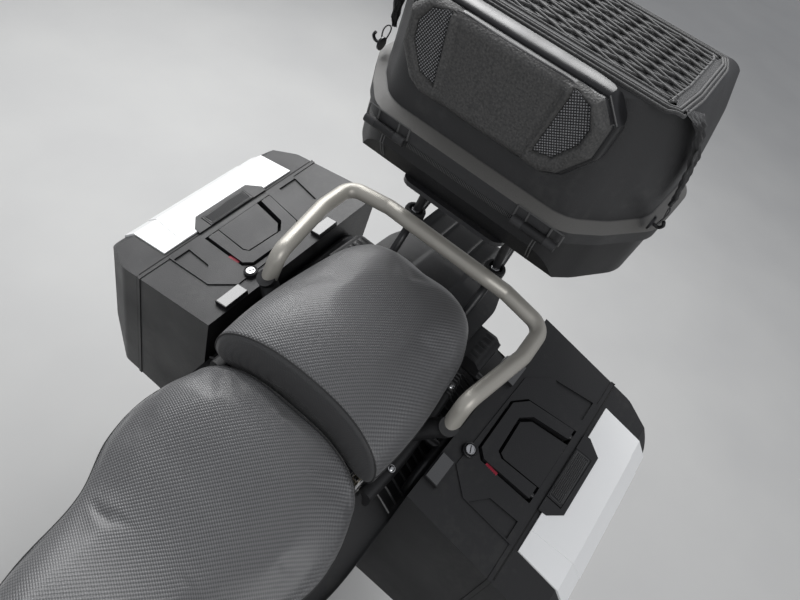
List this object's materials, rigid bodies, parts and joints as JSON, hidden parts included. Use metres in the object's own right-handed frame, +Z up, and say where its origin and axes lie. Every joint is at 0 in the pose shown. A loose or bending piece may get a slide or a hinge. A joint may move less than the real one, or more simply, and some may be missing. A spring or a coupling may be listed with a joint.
{
  "type": "adventure motorcycle",
  "caption": "Touring motorcycle on its centre stand, with stepped seat, grab rail, side cases, top case, turning wheels and steering, opening lids and folding stands.",
  "frame": {"origin": "middle of the machine's length and width, on the floor", "axes": "+X forward, +Y to the rider's left, +Z up"},
  "size_m": [2.339, 1.008, 1.464],
  "materials": {
    "tyre_rubber": "matt",
    "cast_wheel": "satin",
    "disc_steel": "ground",
    "chain_steel": "oiled",
    "fork_metal": "anodised",
    "axle_steel": "turned",
    "engine_metal": "cast, painted",
    "exhaust_steel": "brushed",
    "frame_paint": "satin",
    "black_plastic": "grained",
    "case_plastic": "fine grain",
    "white_panel": "painted",
    "body_paint": "painted",
    "rail_metal": "satin",
    "seat_vinyl": "woven grain",
    "back_pad_foam": "grained",
    "clear_screen": "clear",
    "lamp_glass": "clear",
    "red_lens": "gloss",
    "net_elastic": "woven",
    "stand_steel": "satin",
    "radiator_metal": "painted"
  },
  "bodies": {
    "root": {"chain": "chain_steel", "frame": "frame_paint", "subframe": "frame_paint", "swingarm": "fork_metal", "rear_axle": "axle_steel", "rear_caliper": "engine_metal", "rear_shock": "frame_paint", "engine_case": "engine_metal", "cylinder_head": "engine_metal", "exhaust": "exhaust_steel", "radiator": "radiator_metal", "skid_plate": "exhaust_steel", "fuel_tank": "body_paint", "side_fairings": "body_paint", "nose_cowl": "body_paint", "headlamp": "lamp_glass", "windscreen": "clear_screen", "instruments": "black_plastic", "rider_seat": "seat_vinyl", "pillion_seat": "seat_vinyl", "tail_shell": "black_plastic", "grab_rail": "rail_metal", "tail_lamp": "red_lens", "plate_holder": "black_plastic", "foot_pegs": "frame_paint", "luggage_frame": "frame_paint", "left_case": "case_plastic", "right_case": "case_plastic", "top_case_base": "case_plastic"},
    "steering": {"fork_legs": "fork_metal", "fork_yokes": "fork_metal", "handlebar": "frame_paint", "levers_and_mirrors": "black_plastic", "hand_guards": "black_plastic", "front_mudguard": "black_plastic", "front_calipers": "engine_metal", "front_axle": "axle_steel"},
    "front_wheel": {"front_rim": "cast_wheel", "front_tyre": "tyre_rubber", "front_discs": "disc_steel"},
    "rear_wheel": {"rear_rim": "cast_wheel", "rear_tyre": "tyre_rubber", "rear_sprocket_and_disc": "disc_steel"},
    "left_lid": {"left_case_lid": "case_plastic", "left_lid_panel": "white_panel"},
    "right_lid": {"right_case_lid": "case_plastic", "right_lid_panel": "white_panel"},
    "top_lid": {"top_case_lid": "case_plastic", "back_pad": "back_pad_foam", "cargo_net": "net_elastic"},
    "centre_stand": {"centre_stand": "stand_steel"},
    "side_stand": {"side_stand": "stand_steel"}
  },
  "joints": [
    {"name": "steering", "type": "hinge", "parent": "root", "child": "steering", "pos_m": [0.8004, 0, 0.30857], "axis": [-0.454, 0, 0.891], "range_deg": [-36, 36]},
    {"name": "front_wheel_spin", "type": "hinge", "parent": "steering", "child": "front_wheel", "pos_m": [0.8405, 0, 0.329], "axis": [0, 1, 0], "continuous": true},
    {"name": "rear_wheel_spin", "type": "hinge", "parent": "root", "child": "rear_wheel", "pos_m": [-0.6895, 0, 0.336], "axis": [0, 1, 0], "continuous": true},
    {"name": "left_lid_hinge", "type": "hinge", "parent": "root", "child": "left_lid", "pos_m": [-0.7145, 0.385, 0.56], "axis": [-1, 0, 0], "range_deg": [0, 80]},
    {"name": "right_lid_hinge", "type": "hinge", "parent": "root", "child": "right_lid", "pos_m": [-0.7145, -0.385, 0.56], "axis": [1, 0, 0], "range_deg": [0, 80]},
    {"name": "top_lid_hinge", "type": "hinge", "parent": "root", "child": "top_lid", "pos_m": [-0.7225, 0, 1.243], "axis": [0, 1, 0], "range_deg": [0, 85]},
    {"name": "centre_stand_fold", "type": "hinge", "parent": "root", "child": "centre_stand", "pos_m": [-0.2245, 0, 0.29], "axis": [0, 1, 0], "range_deg": [0, 88]},
    {"name": "side_stand_swing", "type": "hinge", "parent": "root", "child": "side_stand", "pos_m": [-0.0865, 0.174, 0.272], "axis": [0, -0.9322, -0.3621], "range_deg": [0, 104]}
  ]
}
